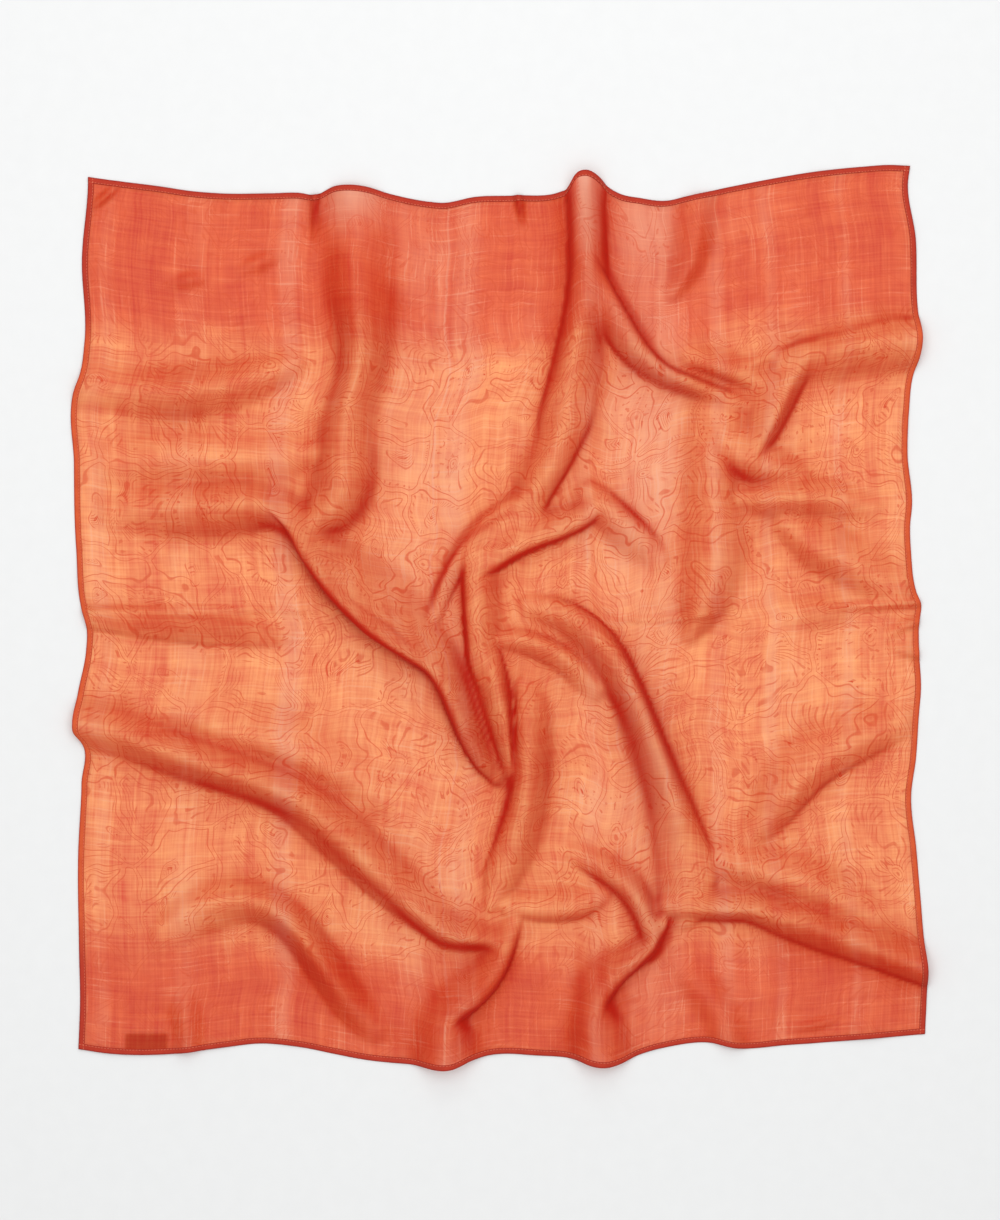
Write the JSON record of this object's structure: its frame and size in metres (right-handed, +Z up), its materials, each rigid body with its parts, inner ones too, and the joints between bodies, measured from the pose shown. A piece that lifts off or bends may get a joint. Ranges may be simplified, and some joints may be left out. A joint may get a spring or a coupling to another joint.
{
  "type": "square scarf laid flat",
  "caption": "Square scarf of sheer printed cloth, laid flat and ruffled into soft folds, with narrow stitched hems all round and a plain label under one corner.",
  "frame": {"origin": "on the surface it lies on, under the middle of its outline", "axes": "+Z up, +Y towards the side whose folds run straight down from it, +X to the right seen from above"},
  "size_m": [0.8542, 0.9028, 0.0227],
  "materials": {
    "cloth": "sheer plain weave, satin sheen",
    "hem": "double-turned and stitched, matte",
    "label": "woven tape, matte"
  },
  "bodies": {
    "root": {"panel": "cloth", "hem_top": "hem", "hem_bottom": "hem", "hem_left": "hem", "hem_right": "hem", "label": "label"}
  },
  "joints": []
}
